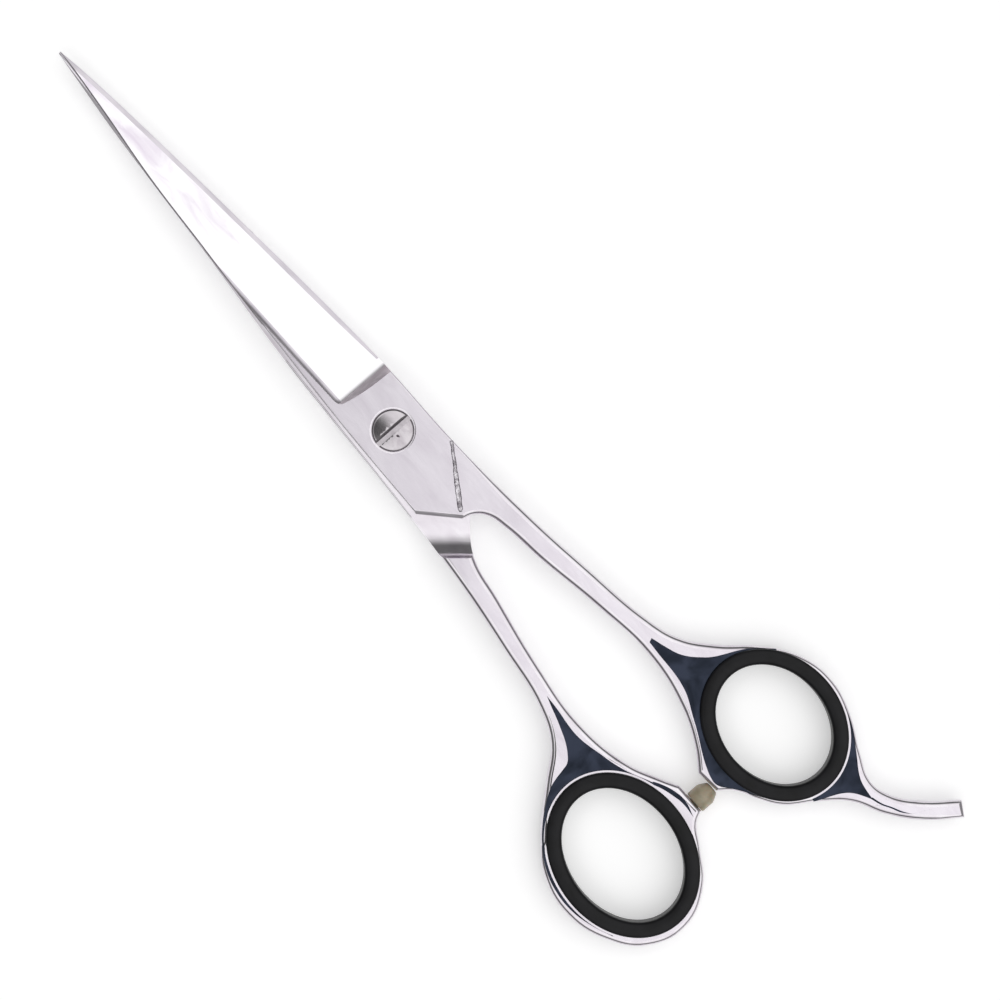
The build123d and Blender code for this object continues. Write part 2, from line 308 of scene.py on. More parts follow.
def plate(name, runs, low, high, material, resolution=7):
    """A solid plate between two heights, inside a traced outline."""
    piece = trace(name, runs, resolution)
    pick(piece)
    bpy.ops.object.mode_set(mode="EDIT")
    bpy.ops.mesh.select_all(action="SELECT")
    bpy.ops.mesh.remove_doubles(threshold=0.02)
    bpy.ops.mesh.edge_face_add()
    bpy.ops.transform.translate(value=(0, 0, low))
    bpy.ops.mesh.extrude_region_move(TRANSFORM_OT_translate={"value": (0, 0, high - low)})
    bpy.ops.mesh.select_all(action="SELECT")
    bpy.ops.mesh.normals_make_consistent(inside=False)
    bpy.ops.object.mode_set(mode="OBJECT")
    piece.data.materials.append(material)
    return piece


# %% [markdown]
# ## The outlines
# One closed outline holds the blade, block, shank, ring and, on the finger half, the finger rest. It
# starts at the blade's tip and goes back along the spine.

# %% Outline of each half
FINGER_OUTLINE = (
    [(82.6, 0.72), (78, 0.95), (70, 1.7), (57, 3.1), (40, 4.15), (20, 5.15), (5, 5.8), (-12.8, 6.1)],
    [(-12.8, 6.1), (-18.3, 0.9)],
    [(-18.3, 0.9), (-19.0, -1.0), (-20.7, -2.6), (-24, -3.5), (-32, -4.5), (-44, -6.5), (-55, -7.6),
     (-65, -6.1), (-71.5, -3.4), (-75, -1.05)],
    [(-75, -1.05), (-79.2, -1.4)],
    [(-79.2, -1.4), (-81.3, -3.8), (-84.5, -5.5), (-88, -8), (-91.5, -13), (-95, -16.9),
     (-100, -19.6), (-105, -23.8), (-109.1, -29.2)],
    [(-109.1, -29.2), (-106.6, -30.7)],
    [(-106.6, -30.7), (-102, -25.2), (-98, -22.2), (-94.5, -21.4), (-90, -23.1), (-84, -26.1),
     (-78, -27.5), (-72, -26.4), (-66, -22.3), (-61, -16.9), (-56, -13.0), (-50, -11.1), (-38, -9.3),
     (-24, -7.55), (-8, -6.35), (8, -6.1), (20, -5.45), (42, -3.7), (65, -1.65), (77, -0.35), (82.6, 0.5)],
    [(82.6, 0.5), (82.6, 0.72)],
)
THUMB_OUTLINE = (
    [(82.6, -0.74), (77, 0.1), (68, 1.15), (57, 2.1), (42, 3.45), (28, 4.6), (7.5, 5.7), (-12.8, 6.1)],
    [(-12.8, 6.1), (-18.3, 0.9)],
    [(-18.3, 0.9), (-20.4, -1.1), (-24.4, -3.6), (-32, -5.1), (-45, -7.4), (-56, -8.45), (-66, -6.9),
     (-71.5, -4.4), (-74.6, -2.7)],
    [(-74.6, -2.7), (-80, -2.7)],
    [(-80, -2.7), (-81.0, -4.5), (-84.5, -6.8), (-89.5, -10.5), (-92.6, -17), (-90.8, -23.8),
     (-85.8, -28.1), (-78.5, -30.3), (-71, -28.9), (-65.5, -24.9), (-60, -19), (-55.5, -14.1),
     (-50, -11.6), (-39, -9.8), (-24, -7.9), (-8, -6.95), (8, -6.4), (20, -5.9), (42, -4.2),
     (57, -3.2), (68, -2.4), (77, -1.5), (82.6, -0.95)],
    [(82.6, -0.95), (82.6, -0.74)],
)

# %% [markdown]
# ## Thickness and rounded edges
# The block is the thickest part, and the shank thins towards the ring. The plate is therefore cut
# across at a few places, so that its big faces can follow the change, and its vertices are moved to
# the height for their place. Only then are the rims rounded. The rounding is wide along the shank,
# which the hand feels, and narrow at the block and the blade.

# %% Thinning the handle and rounding the rims
SHANK_START = -24
SHANK_END = -56
TANG_START = -93
TANG_END = -109.1


def rise_at(x, has_tang):
    """Half of the thickness at a place along the half."""
    if x > SHANK_START:
        return BLOCK_RISE
    if x > SHANK_END:
        along = (SHANK_START - x) / (SHANK_START - SHANK_END)
        return BLOCK_RISE + (HANDLE_RISE - BLOCK_RISE) * smooth(along)
    if has_tang and x < TANG_START:
        along = (TANG_START - x) / (TANG_START - TANG_END)
        return HANDLE_RISE + (TANG_RISE - HANDLE_RISE) * along
    return HANDLE_RISE


def smooth(t):
    """Ease from 0 to 1."""
    t = min(1.0, max(0.0, t))
    return t * t * (3 - 2 * t)


def thin_handle(piece, has_tang):
    """Cut the plate across, then move its vertices to the thickness for their place."""
    stations = [SHANK_START - 4 * i for i in range(9)] + [TANG_START, -98, -103]
    for x in stations:
        pick(piece)
        bpy.ops.object.mode_set(mode="EDIT")
        bpy.ops.mesh.select_all(action="SELECT")
        bpy.ops.mesh.bisect(plane_co=(x, 0, 0), plane_no=(1, 0, 0))
    bpy.ops.object.mode_set(mode="OBJECT")
    for vertex in piece.data.vertices:
        vertex.co.z *= rise_at(vertex.co.x, has_tang) / BLOCK_RISE


def rim_width(place):
    """How wide the rounding is at a place on the outline, in mm."""
    x, y, _ = place
    outer = y < -6 + 0.09 * (x + 20)
    shank = 1.0 if outer else 0.9
    if -18.5 < x < -12.6 and y > 0.8:
        return 0.7
    if x > -10:
        return 0.3
    if x > -24:
        return 0.3 + (shank - 0.3) * smooth((-10 - x) / 14)
    if x > -66:
        return shank
    if x > -94:
        return 0.8
    return 0.8 + 0.15 * smooth((-94 - x) / 5) - 0.4 * smooth((-105 - x) / 4)


def round_rims(piece):
    """Round the edges where the two faces meet the sides, wider along the shank."""
    mesh = piece.data
    weights = mesh.attributes.new("bevel_weight_edge", "FLOAT", "EDGE")
    for edge, weight in zip(mesh.edges, weights.data):
        start, end = (mesh.vertices[i].co for i in edge.vertices)
        middle = (start + end) / 2
        along = abs(start.z - end.z) < 0.3
        crosses = abs(start.x - end.x) < 0.01 and abs(start.y - end.y) > 1.2 and middle.x < -20
        if along and not crosses and middle.x < 40:
            weight.value = rim_width(middle)
    piece.data.materials.append(buffed_steel)
    apply_modifier(piece, "BEVEL", width=1.0, segments=7, limit_method="WEIGHT", material=1,
                   use_clamp_overlap=False, harden_normals=False)


# %% Forge both blanks
def blank(name, outline, has_tang):
    """One half before any tool has touched it."""
    piece = plate(name, outline, -BLOCK_RISE, BLOCK_RISE, satin_steel)
    thin_handle(piece, has_tang)
    round_rims(piece)
    print(name, "blank:", len(piece.data.polygons), "faces")
    return piece


finger_half = blank("finger_half_forged", FINGER_OUTLINE, True)
thumb_half = blank("thumb_half_forged", THUMB_OUTLINE, False)

# %% [markdown]
# ## Cutting tools
# Grinding wheels and cutters leave a wall that curves into the floor. So each tool is a box or an oval
# drum whose lower edges are rounded.

# %% A box tool and an oval drum tool
def box_tool(low, high, material, name="tool"):
    """A box between two corners, in mm."""
    size = [b - a for a, b in zip(low, high)]
    middle = [(a + b) / 2 for a, b in zip(low, high)]
    bpy.ops.object.select_all(action="DESELECT")
    bpy.ops.mesh.primitive_cube_add(size=1, location=middle, scale=size)
    tool = bpy.context.object
    tool.name = name
    tool.data.materials.append(material)
    return settle(tool)


def oval(ring, levels, material, name="tool", close=True, steps=128):
    """A drum whose oval outline grows and shrinks from level to level: (offset, height) in mm."""
    x, y, half_length, half_width, tilt = ring
    bpy.ops.object.select_all(action="DESELECT")
    first_offset, first_height = levels[0]
    bpy.ops.mesh.primitive_circle_add(vertices=steps, radius=1, fill_type="NGON" if close else "NOTHING",
                                      location=(0, 0, first_height))
    piece = bpy.context.object
    piece.name = name
    bpy.ops.object.mode_set(mode="EDIT")
    bpy.ops.mesh.select_mode(type="VERT")
    bpy.ops.mesh.select_all(action="SELECT")
    bpy.ops.transform.resize(value=(half_length + first_offset, half_width + first_offset, 1))
    offset, height = first_offset, first_height
    for next_offset, next_height in levels[1:]:
        bpy.ops.mesh.extrude_region_move(TRANSFORM_OT_translate={"value": (0, 0, next_height - height)})
        bpy.ops.transform.resize(value=((half_length + next_offset) / (half_length + offset),
                                        (half_width + next_offset) / (half_width + offset), 1))
        offset, height = next_offset, next_height
    bpy.ops.mesh.select_all(action="SELECT")
    bpy.ops.mesh.remove_doubles(threshold=0.001)
    bpy.ops.mesh.normals_make_consistent(inside=False)
    bpy.ops.object.mode_set(mode="OBJECT")
    piece.rotation_euler.z = math.radians(tilt)
    piece.location.xy = x, y
    piece.data.materials.append(material)
    return settle(piece)


# %% [markdown]
# ## Relief under the block
# Below the riding plane each half is cut away, so that the other half's block has room. The cut runs
# out in a scoop of 8 mm radius, across the shank's root.

# %% Cut the relief and its scoop
RELIEF_START = 14.8
RELIEF_R = 8.0
RELIEF_ANGLE = 220.75


def cut_relief(body):
    """Clear the inner side behind the blade, at the slant of the shank's root."""
    tool = box_tool((-130, -70, -9), (RELIEF_START + RELIEF_R, 70, RIDE_GAP), satin_steel)
    end = RELIEF_START + RELIEF_R
    select_parts(tool, "EDGE", lambda p, d: abs(p.x - end) < 0.01 and abs(p.z - RIDE_GAP) < 0.01)
    bpy.ops.mesh.bevel(offset=RELIEF_R, segments=28, affect="EDGES")
    bpy.ops.object.mode_set(mode="OBJECT")
    tool.data.materials[0] = buffed_steel
    tool.rotation_euler.z = math.radians(RELIEF_ANGLE)
    settle(tool)
    cut(body, tool)


cut_relief(finger_half)
cut_relief(thumb_half)

# %% [markdown]
# ## Grinding the blade
# The wide facet slopes from a thick spine to the edge and starts in a concave step at the block. The
# tool is a box with rounded lower edges. Its floor is then sheared so that it lies on the facet.

# %% Cut the facet
EDGE_HEIGHT = 0.38
FACET_SLOPE = 0.21
HEEL_X = 7.5
STEP_R = 2.5
SPINE_STEP_R = 1.3
SCOOP_WIDTH = 1.5
SPINE_SIDE = 4.6


def edge_at(x, edge):
    """The cutting edge's y at a place along the blade: edge holds y at x = 10, and its slope."""
    return edge[0] + edge[1] * (x - 10)


def facet_height(x, y, edge):
    """Height of the ground facet above the riding plane."""
    return EDGE_HEIGHT + FACET_SLOPE * (y - edge_at(x, edge))


def cut_facet(body, edge):
    """Grind the blade's outer face, with one rounded step at the block and along the spine."""
    tool = box_tool((HEEL_X, -14, 0), (90, SPINE_SIDE, 12), ground_steel)

    select_parts(tool, "EDGE", lambda place, along: abs(place.x - HEEL_X) < 0.01 and abs(place.z) < 0.01)
    bpy.ops.mesh.bevel(offset=STEP_R, segments=16, affect="EDGES")
    select_parts(tool, "EDGE", lambda place, along: abs(place.y - SPINE_SIDE) < 0.01 and place.z < 11
                 and abs(along.y) < 0.01 and place.x < 89)
    bpy.ops.mesh.bevel(offset=SPINE_STEP_R, segments=8, affect="EDGES")
    bpy.ops.object.mode_set(mode="OBJECT")
    tool.data.materials.append(scoop_steel)
    tool.data.materials.append(honed_steel)
    for face in tool.data.polygons:
        if face.center.x < HEEL_X + SCOOP_WIDTH:
            face.material_index = 1
        elif face.center.y > SPINE_SIDE - SPINE_STEP_R:
            face.material_index = 2
    for vertex in tool.data.vertices:
        if vertex.co.y > 0:
            vertex.co.y += 0.02 * (vertex.co.x - 9)
        vertex.co.z += facet_height(vertex.co.x, vertex.co.y, edge)
    cut(body, tool)


FINGER_EDGE = (-6.2, 0.0893)
THUMB_EDGE = (-6.45, 0.0745)
cut_facet(finger_half, FINGER_EDGE)
cut_facet(thumb_half, THUMB_EDGE)
print("faces after grinding:", len(finger_half.data.polygons), len(thumb_half.data.polygons))

# %% [markdown]
# ## The cutting edge and the hollow inner face
# The edge itself is honed at a much steeper angle than the facet, as a band under half a millimetre wide.
# On the inside the blade is hollow ground, so that the two blades touch only where they cut. That
# hollow is part of a large cone, which gets smaller towards the tip as the blade does.

# %% Hone the edge, then hollow the inner face
HONE_WIDTH = 0.55
HONE_DROP = 0.12
HONE_START = 15
SPINE_WIDTH = 0.4
SPINE_DROP = 0.22
SPINE_START = 27
PAST_TIP = 84.5
HOLLOW_START = 14.8
HOLLOW_DEPTH = 0.22
HOLLOW_REACH = 4.5


def height_on(line, x):
    """The y of a line of points at a place along it."""
    ordered = sorted(line)
    for (x0, y0), (x1, y1) in zip(ordered, ordered[1:]):
        if x <= x1:
            return y0 + (y1 - y0) * (x - x0) / (x1 - x0)
    return ordered[-1][1]


def slope_along(body, line, side, width, drop, edge):
    """Cut a sloping band along a line of the outline; side is 1 at the edge and -1 at the spine.

    The tool reaches over the facet and past the outline, so that only its slope cuts.
    """
    over = 0.3
    past = 1.5
    lean = width * (drop + over) / (drop + 0.08)
    inner = [(x, y + side * lean) for x, y in line]
    outer = [(x, y - side * past) for x, y in reversed(line)]
    tool = plate("slope", [inner, [inner[-1], outer[0]], outer, [outer[-1], inner[0]]], -drop, over,
                 honed_steel)
    for vertex in tool.data.vertices:
        x, y, z = vertex.co
        near = side * (y - height_on(line, x)) > -past / 2
        vertex.co.z += facet_height(x, y - side * lean if near else y, edge)
        if z < 0 and near:
            vertex.co.y -= side * lean
    cut(body, tool)


def hollow_grind(body, outline, edge):
    """Take a shallow cone out of the inner face."""
    tip_x, tip_y = outline[0][0]
    half = HOLLOW_REACH
    radius = (half * half + HOLLOW_DEPTH ** 2) / (2 * HOLLOW_DEPTH)
    length = tip_x - HOLLOW_START
    bpy.ops.object.select_all(action="DESELECT")
    bpy.ops.mesh.primitive_cone_add(vertices=360, radius1=radius, radius2=radius * 0.01, depth=length)
    tool = bpy.context.object
    tool.data.materials.append(ground_steel)
    tool.rotation_euler.y = math.pi / 2
    tool.location = (HOLLOW_START + length / 2, -0.25, HOLLOW_DEPTH - radius + RIDE_GAP)
    settle(tool)
    select_parts(tool, "VERT", lambda place, normal: place.x > tip_x - 1)
    middle = (tip_y + edge_at(tip_x, edge)) / 2
    bpy.ops.transform.translate(value=(0, middle + 0.25, (radius - HOLLOW_DEPTH) * 0.99))
    bpy.ops.object.mode_set(mode="OBJECT")
    cut(body, tool)


for half, outline, edge in ((finger_half, FINGER_OUTLINE, FINGER_EDGE),
                            (thumb_half, THUMB_OUTLINE, THUMB_EDGE)):
    honed = [place for place in outline[-2] if place[0] > HONE_START]
    spine = [place for place in outline[0] if place[0] > SPINE_START]
    hone_line = [(10.6, honed[0][1] - 0.95)] + honed[:-1] + [(PAST_TIP, honed[-1][1] + 0.3)]
    spine_end = (SPINE_START, height_on(outline[0], SPINE_START) + 0.5)
    spine_line = [(PAST_TIP, spine[0][1] - 0.25)] + spine[1:] + [spine_end]
    slope_along(half, hone_line, 1, HONE_WIDTH, HONE_DROP, edge)
    slope_along(half, spine_line, -1, SPINE_WIDTH, SPINE_DROP, edge)
    hollow_grind(half, outline, edge)
print("faces after honing:", len(finger_half.data.polygons), len(thumb_half.data.polygons))

# %% [markdown]
# ## Holes for the screw, and the filed groove
# The front block has a plain hole and a counterbore, in which the screw's head sits almost flush. Its
# rim is broken by a shallow chamfer, which catches the light. The rear block holds the thread. A groove
# is filed across the front block from its edge side, so its sides are slightly uneven.

# %% Drill, counterbore and file
def drill(body, steps):
    """Take out a round hole: its radius at each height, from the bottom up."""
    base = steps[0][0]
    cut(body, oval((0, 0, base, base, 0), [(r - base, z) for r, z in steps], buffed_steel, steps=96))


seat = BLOCK_RISE - COUNTERBORE_DEPTH
drill(finger_half, [(SHOULDER_R, -1), (SHOULDER_R, seat), (COUNTERBORE_R, seat),
                    (COUNTERBORE_R, BLOCK_RISE - 0.07), (COUNTERBORE_R + 0.18, BLOCK_RISE),
                    (COUNTERBORE_R + 0.4, BLOCK_RISE + 0.08)])
drill(thumb_half, [(THREAD_R, -1), (THREAD_R, BLOCK_RISE - 0.3), (THREAD_R + 0.5, BLOCK_RISE + 0.2)])


def stone(body, start, end, height, width, lean, face=1):
    """Take a narrow flat off an edge: its line on the outline, its height, width and lean.

    The outside is on the right as one goes from start to end. The face is 1 for the upper face
    and -1 for the lower.
    """
    length = math.dist(start, end)
    low, high = sorted((0, 6 * face))
    tool = box_tool((-length / 2 - 0.3, -width * 3, low), (length / 2 + 0.3, 6, high), buffed_steel)
    tool.rotation_euler.x = -math.radians(lean) * face
    tool.location = (0, -width, 0)
    settle(tool)
    tool.rotation_euler.z = math.atan2(end[1] - start[1], end[0] - start[0]) + math.pi
    tool.location = ((start[0] + end[0]) / 2, (start[1] + end[1]) / 2, height)
    settle(tool)
    cut(body, tool)


stone(finger_half, (-12.8, 6.1), (-18.3, 0.9), BLOCK_RISE, 0.62, 31)
stone(finger_half, (-109.1, -29.2), (-106.6, -30.7), TANG_RISE, 0.5, 33)
for start, end in (((-12.4, -7.2), (-8, -6.95)), ((-8, -6.95), (8, -6.4)), ((8, -6.4), (20, -5.9))):
    stone(thumb_half, start, end, RIDE_GAP, 0.26, 30, face=-1)

GROOVE_START = (-7.55, -6.15)
GROOVE_END = (-17.3, 0.35)
GROOVE_DEPTH = 0.32
uneven = random.Random(4)


def groove_side(side, count=22):
    """One side of the filed groove, wider in its second half."""
    length = math.dist(GROOVE_START, GROOVE_END)
    along = [(b - a) / length for a, b in zip(GROOVE_START, GROOVE_END)]
    points = []
    for i in range(count + 1):
        t = i / count
        width = 0.3 + 0.13 * smooth((t - 0.35) / 0.2) + uneven.uniform(-0.05, 0.05)
        if i == count:
            width *= 0.45
        middle = [a + d * t * length for a, d in zip(GROOVE_START, along)]
        points.append((middle[0] - side * along[1] * width, middle[1] + side * along[0] * width))
    return points


left = groove_side(1)
right = groove_side(-1)
# The groove's finish holds painted highlights and painted dark reflections in its base colour.
groove = plate("groove", [left, [left[-1], right[-1]], right[::-1], [right[0], left[0]]],
               BLOCK_RISE - GROOVE_DEPTH, BLOCK_RISE + 0.4, groove_steel, resolution=3)
select_parts(groove, "FACE", lambda place, normal: normal.z < -0.9)
bpy.ops.mesh.inset(thickness=0.14, depth=0.0)
bpy.ops.transform.translate(value=(0, 0, -0.12))
bpy.ops.object.mode_set(mode="OBJECT")
cut(finger_half, groove)

# %% [markdown]
# ## Finger rings
# Each ring is an oval hole, in which a rubber insert sits. Beside the holes the faces are hollowed and
# polished like a mirror, and the hollows' near-black colour is a painted dark reflection. Each hollow's
# outer border is traced, and its inner border follows the oval, at the width of a narrow land that is
# left around the rubber.

# %% Rings and their hollows
FINGER_RING = (-77.2, -15.55, 10.75, 8.6, 0.0)
THUMB_RING = (-77.05, -17.05, 11.8, 9.0, 5.5)
GROOVE_OFFSET = 1.48
FLANGE_OFFSET = 2.6
HOLLOW_LAND = 0.34
PANEL_DEPTH = 0.55

FINGER_PANELS = (
    ([(-53.3, -9.7), (-53.6, -9.0)],
     [(-53.6, -9.0), (-56.5, -8.85), (-60, -8.75), (-62, -8.5), (-64, -8.0), (-67, -6.6), (-70, -5.2),
      (-73, -3.6), (-75, -2.7), (-77, -2.05), (-78, -1.95), (-79, -2.3), (-80, -3.1), (-82, -4.55),
      (-84, -5.75), (-86.4, -7.4)],
     [(-86.4, -7.4), (-77.2, -15.55)], [(-77.2, -15.55), (-68, -24.0)],
     [(-68, -24.0), (-65, -20.6), (-64, -18.9), (-63, -16.8), (-62, -15), (-61, -13.8), (-59.5, -12.3),
      (-58, -11.3), (-56.5, -10.7), (-53.3, -9.7)]),
    ([(-97, -19.75), (-95.5, -18.95), (-94, -17.95), (-93, -16.8), (-92.2, -15.3), (-91.5, -13.6),
      (-90.9, -12.2)],
     [(-90.9, -12.2), (-77.2, -15.55)], [(-77.2, -15.55), (-82.5, -26.2)],
     [(-82.5, -26.2), (-85.5, -25.1), (-87, -24.3), (-88.5, -23.3), (-90, -22.3), (-92, -20.95),
      (-93.5, -20.25), (-95, -19.95), (-97, -19.75)]),
)
FINGER_LINES = (
    ([(-96.6, -19.55), (-98.5, -20.2), (-100, -21.05), (-101.5, -21.8), (-103, -23.1)],
     [(-103, -23.1), (-101.6, -22.15), (-100, -21.35), (-98.5, -20.5), (-96.6, -19.9)],
     [(-96.6, -19.9), (-96.6, -19.55)]),
)
THUMB_PANELS = (
    ([(-49.2, -9.4), (-51, -10), (-53, -10.6), (-55, -11.3), (-57, -12.1), (-58.5, -13), (-59.7, -14.1),
      (-60.1, -15.5), (-60.4, -17), (-60.9, -18.6), (-62.0, -20.5)],
     [(-62.0, -20.5), (-77, -17.05)], [(-77, -17.05), (-71.6, -5.4)],
     [(-71.6, -5.4), (-70, -6.2), (-68, -7.2), (-66, -8.0), (-64, -8.6), (-62, -9.05), (-60, -9.55),
      (-58, -9.9), (-56, -9.95), (-52, -9.55), (-49.2, -9.4)]),
)
THUMB_LINES = (
    ([(-61.8, -20.2), (-64, -23), (-68, -26.6), (-71, -28.25), (-74, -29.15), (-78, -29.4), (-82, -28.6),
      (-86, -27.0)],
     [(-86, -27.0), (-77, -17)], [(-77, -17), (-61.8, -20.2)]),
    ([(-71.2, -6.0), (-73, -5.15), (-75, -4.55), (-77, -4.15), (-79.9, -4.3)],
     [(-79.9, -4.3), (-77, -3.55), (-74.5, -3.9), (-72, -4.95), (-71.2, -5.45)],
     [(-71.2, -5.45), (-71.2, -6.0)]),
)


def cut_panels(body, groups, ring):
    """Hollow both faces beside a ring, each with its land and the rounding of its floor."""
    for runs, land, rounding in groups:
        for side in (1, -1):
            low, high = sorted((side * (HANDLE_RISE - PANEL_DEPTH), side * 4))
            # The hollows take the mirror finish whose near-black base colour is a painted dark reflection.
            tool = plate("hollow", runs, low, high, mirror_steel_painted_dark, resolution=5)
            inner = FLANGE_OFFSET + land
            cut(tool, oval(ring, [(inner, low - 1), (inner, high + 1)], mirror_steel_painted_dark, steps=160))
            if rounding:
                apply_modifier(tool, "BEVEL", width=rounding, segments=3, limit_method="ANGLE",
                               angle_limit=math.radians(50))
            cut(body, tool)


cut_panels(finger_half, [(FINGER_PANELS[0], -0.12, 0.25), (FINGER_PANELS[1], HOLLOW_LAND, 0.25),
                         (FINGER_LINES[0], HOLLOW_LAND, 0)], FINGER_RING)
cut_panels(thumb_half, [(THUMB_PANELS[0], HOLLOW_LAND, 0.25), (THUMB_LINES[0], HOLLOW_LAND, 0),
                        (THUMB_LINES[1], HOLLOW_LAND, 0)], THUMB_RING)


def cut_ring(body, ring):
    """The hole for the rubber, with a shallow chamfer that shows as a bright line around it."""
    lip = FLANGE_OFFSET - 0.15
    top = HANDLE_RISE
    cut(body, oval(ring, [(lip + 0.6, -top - 0.2), (lip, -top + 0.1), (GROOVE_OFFSET, -top + 0.1),
                          (GROOVE_OFFSET, top - 0.1), (lip, top - 0.1), (lip + 0.6, top + 0.2)],
                   ground_steel, steps=160))


cut_ring(finger_half, FINGER_RING)
cut_ring(thumb_half, THUMB_RING)
print("faces with rings:", len(finger_half.data.polygons), len(thumb_half.data.polygons))

# %% Place the halves
def clean(piece):
    """Dissolve faces and edges that the cuts have left without any size."""
    select_parts(piece, "FACE", lambda place, normal: True)
    bpy.ops.mesh.dissolve_degenerate(threshold=0.001)
    bpy.ops.mesh.delete_loose(use_verts=True, use_edges=True, use_faces=True)
    bpy.ops.object.mode_set(mode="OBJECT")


def place_piece(piece, node, body):
    """Smooth a finished piece and say where it belongs."""
    pick(piece)
    bpy.ops.object.shade_smooth_by_angle(angle=math.radians(30))
    apply_modifier(piece, "WEIGHTED_NORMAL", keep_sharp=True, weight=50)
    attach(piece, body)
    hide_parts(node)
    print(piece.name, "has", len(piece.data.polygons), "faces")


BUMPER_X = -78.4
BUMPER_TOP = 2.62
thumb_half.rotation_euler.x = math.pi
for half in (finger_half, thumb_half):
    half.location.z = RIDING_HEIGHT
    settle(half)

socket = oval((BUMPER_X, 0, 1.03, 1.03, 0), [(0, 2.2), (0, 5.0)], buffed_steel, steps=48)
pick(socket)
socket.rotation_euler.x = -math.pi / 2
socket.location.z = RIDING_HEIGHT
settle(socket)
cut(thumb_half, socket)
clean(finger_half)
clean(thumb_half)
settle(finger_half, MM)
settle(thumb_half, MM)
place_piece(finger_half, "finger_half", "finger_handle")
place_piece(thumb_half, "thumb_half", "thumb_handle")

# %% [markdown]
# ## Pivot screw
# A turned screw: chamfered thread end, plain shoulder, and a low domed head with one slot. A punched dot
# beside the slot marks its setting.

# %% Turn the screw, cut its slot and punch its dot
SCREW_HEAD_R = 3.5
HEAD_LOW = 4.48
HEAD_HIGH = 5.69
DOME = 0.27
THREAD_PITCH = 0.4
turned = [(1.65, 0.0), (1.98, 0.3)]
for i in range(6):
    low = 0.3 + i * THREAD_PITCH
    turned += [(1.98, low + 0.1), (1.78, low + 0.22), (1.78, low + 0.28), (1.98, low + THREAD_PITCH)]
turned += [(1.9, 2.9), (2.5, 2.9), (2.5, HEAD_LOW), (3.4, HEAD_LOW), (SCREW_HEAD_R, HEAD_LOW + 0.1),
           (SCREW_HEAD_R, HEAD_HIGH - 0.2), (3.47, HEAD_HIGH - 0.16), (3.22, HEAD_HIGH + 0.03)]
for r in (3.16, 3.0, 2.6, 2.2, 1.7, 1.2, 0.7, 0.25):
    turned.append((r, HEAD_HIGH + DOME * (1 - (r / SCREW_HEAD_R) ** 2)))
base = turned[0][0]
screw = oval((0, 0, base, base, 0), [(r - base, z) for r, z in turned], screw_steel,
             "slotted_pivot_screw", steps=96)

crown = HEAD_HIGH + DOME
# One side of the slot is broken to a wide flat, which draws a dark line beside the light floor.
profile = [(-0.56, -0.8), (0.2, -0.8), (0.2, -0.5), (0.66, -0.12), (0.66, 0.8), (-0.56, 0.8)]
slot = plate("slot", [[a, b] for a, b in zip(profile, profile[1:] + profile[:1])], -4, 4, screw_steel,
             resolution=1)
slot.rotation_euler.x = math.pi / 2
slot.location.z = crown
settle(slot)
cut(screw, slot)
cut(screw, oval((-1.2, 0, 0.13, 0.13, 0), [(-0.1, crown - 0.6), (0, crown - 0.25), (0.1, crown + 0.05)],
                screw_steel, steps=32))
apply_modifier(screw, "BEVEL", width=0.05, segments=2, limit_method="ANGLE", angle_limit=math.radians(50))
settle(screw, MM)
place_piece(screw, "pivot_screw", "screw")

# %% [markdown]
# ## Rubber inserts
# Each insert is moulded with a flange on both faces and a groove between them, which holds the steel
# ring. Its section is drawn once and carried round the oval.

# %% Carry the section round both ovals
SEAT = HANDLE_RISE + 0.03
flange = [(1.42, SEAT), (2.52, SEAT), (2.6, SEAT + 0.1), (2.6, 2.38), (2.53, 2.55), (2.36, 2.68),
          (2.1, 2.77), (1.75, 2.83), (1.3, 2.85), (0.85, 2.82), (0.5, 2.74), (0.24, 2.6), (0.08, 2.4),
          (0.0, 2.1), (0.0, 1.0)]
section = [(offset, -z) for offset, z in flange] + flange[::-1] + [(1.42, -SEAT)]


def insert(name, ring):
    """One rubber insert about the riding plane."""
    return oval(ring, section, rubber, name, close=False, steps=160)


finger_rubber = insert("finger_ring_rubber", FINGER_RING)
thumb_rubber = insert("thumb_ring_rubber", THUMB_RING)
thumb_rubber.rotation_euler.x = math.pi
for piece, node, body in ((finger_rubber, "finger_ring_insert", "finger_handle"),
                          (thumb_rubber, "thumb_ring_insert", "thumb_handle")):
    piece.location.z = RIDING_HEIGHT
    settle(piece, MM)
    place_piece(piece, node, body)

# %% [markdown]
# ## Bumper
# A moulded silicone stop with a stem in the thumb ring. Its body is a short drum that tapers to a blunt
# end, and every edge is soft.

# %% Mould the bumper
moulded = [(0.6, -4.6), (0.95, -4.5), (0.98, -2.64), (1.72, -2.62), (1.9, -2.55), (1.95, -2.35),
           (1.95, -0.5), (1.92, -0.32), (1.84, -0.12), (1.7, 0.15), (1.32, 0.82), (1.2, 1.0), (1.05, 1.1),
           (0.8, 1.16), (0.4, 1.17)]
base = moulded[0][0]
stop = oval((0, 0, base, base, 0), [(r - base, z) for r, z in moulded], silicone, "silicone_bumper",
            steps=64)
stop.rotation_euler.x = math.pi / 2
stop.location = (BUMPER_X, 0, RIDING_HEIGHT)
settle(stop, MM)
place_piece(stop, "bumper", "thumb_handle")

# %% The washer keeps its CAD shape, and gets a finish
washer_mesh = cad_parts["tension_washer"].data
washer_mesh.materials.clear()
washer_mesh.materials.append(buffed_steel)

# %% [markdown]
# ## Floor, light and camera
# Polished steel shows what is around it. A white ceiling makes the flats light, and a darker band near
# the horizon draws the thin dark lines in every rounded edge.

# %% Floor
bpy.ops.object.select_all(action="DESELECT")
bpy.ops.mesh.primitive_plane_add(size=4, location=(0, 0, 0))
floor = bpy.context.object
floor.name = "studio_floor"
paper, tree, shader = new_finish("lit_white_paper", Base_Color=linear("#F4F4F4"), Roughness=0.9,
                                 Specular_IOR_Level=0.2, Emission_Color=linear("#FFFFFF"),
                                 Emission_Strength=0.32)
floor.data.materials.append(paper)

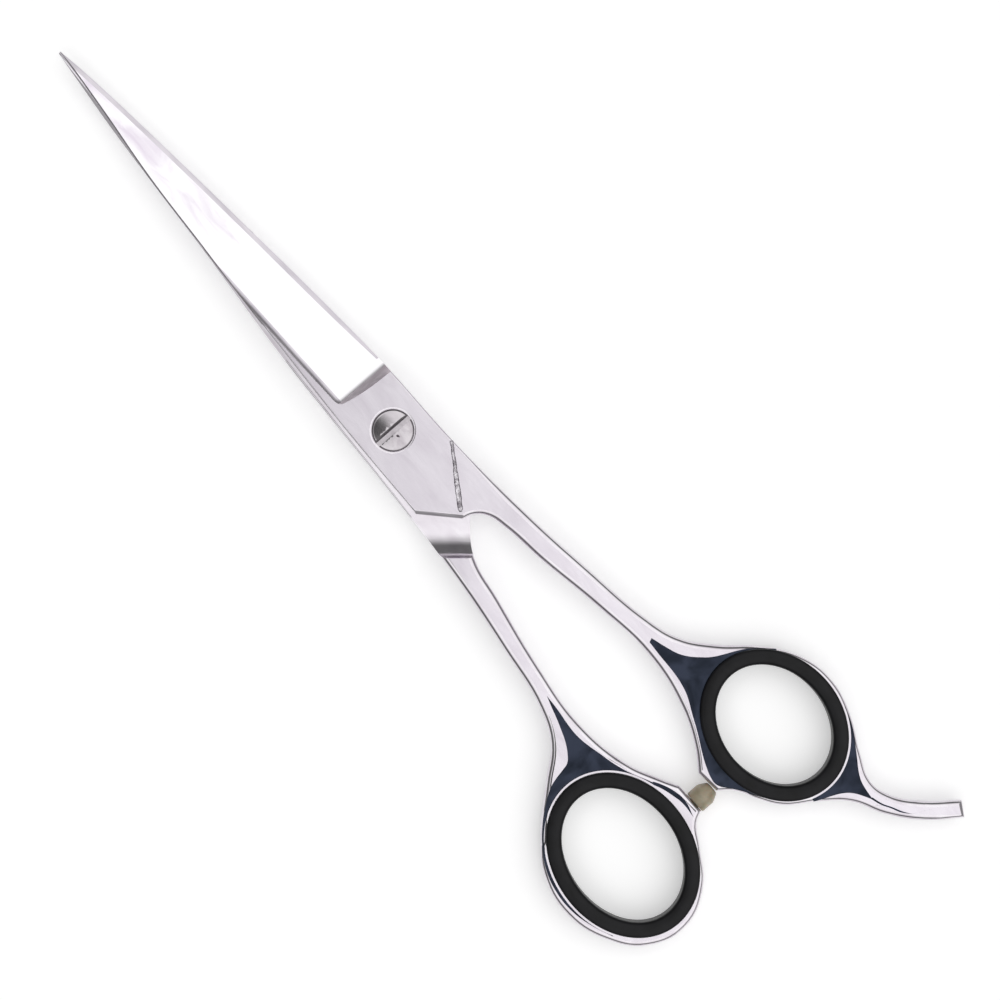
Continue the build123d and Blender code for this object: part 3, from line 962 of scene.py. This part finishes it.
# %% Light
DARK_BELOW = 0.4
BRIGHT_ABOVE = 0.87
HORIZON = 0.17
BRIGHT_SIDE = (-0.2, -0.1, 1.0)
CEILING = 1.3
world = bpy.data.worlds.new("soft_studio")
bpy.context.scene.world = world
world.use_nodes = True
sky = world.node_tree
background = sky.nodes["Background"]
view = add_node(sky, "ShaderNodeTexCoord")
height = add_node(sky, "ShaderNodeVectorMath", {"operation": "DOT_PRODUCT"},
                  {0: view.outputs["Generated"]})
height.inputs[1].default_value = BRIGHT_SIDE
ceiling = add_node(sky, "ShaderNodeMapRange", {"From Min": DARK_BELOW, "From Max": BRIGHT_ABOVE,
                                               "To Min": HORIZON, "To Max": CEILING,
                                               "interpolation_type": "SMOOTHSTEP"},
                   {"Value": height.outputs["Value"]})

# A dark opening in the ceiling, to one side of the zenith. Only the screw's domed head leans far enough
# to show it, as the dark side of the dome.
OPENING = (0.215, 0.19, 0.958)
OPENING_EDGE = 0.965
OPENING_CORE = 0.988
OPENING_LIGHT = 0.05
to_opening = add_node(sky, "ShaderNodeVectorMath", {"operation": "DOT_PRODUCT"},
                      {0: view.outputs["Generated"]})
to_opening.inputs[1].default_value = OPENING
opening = add_node(sky, "ShaderNodeMapRange", {"From Min": OPENING_EDGE, "From Max": OPENING_CORE,
                                               "To Min": 1.0, "To Max": OPENING_LIGHT,
                                               "interpolation_type": "SMOOTHSTEP"},
                   {"Value": to_opening.outputs["Value"]})
light = add_node(sky, "ShaderNodeMath", {"operation": "MULTIPLY"},
                 {0: ceiling.outputs["Result"], 1: opening.outputs["Result"]})
sky.links.new(light.outputs["Value"], background.inputs["Strength"])
background.inputs["Color"].default_value = (1.0, 1.0, 1.0, 1.0)

# %% Camera
FRAME_WIDTH = 163.45
FRAME_CENTRE = (-20.04, -5.77)
FRAME_TURN = 229.07
FACE_HEIGHT = 4.5
LENS = 150
SENSOR = 36
camera_data = bpy.data.cameras.new("overhead_camera")
camera = bpy.data.objects.new("overhead_camera", camera_data)
bpy.context.collection.objects.link(camera)
camera_data.lens = LENS
camera.location = (FRAME_CENTRE[0] * MM, FRAME_CENTRE[1] * MM,
                   (FACE_HEIGHT + FRAME_WIDTH * LENS / SENSOR) * MM)
camera.rotation_euler = (0, 0, math.radians(FRAME_TURN))
bpy.context.scene.camera = camera
bpy.context.scene.view_settings.view_transform = "Standard"
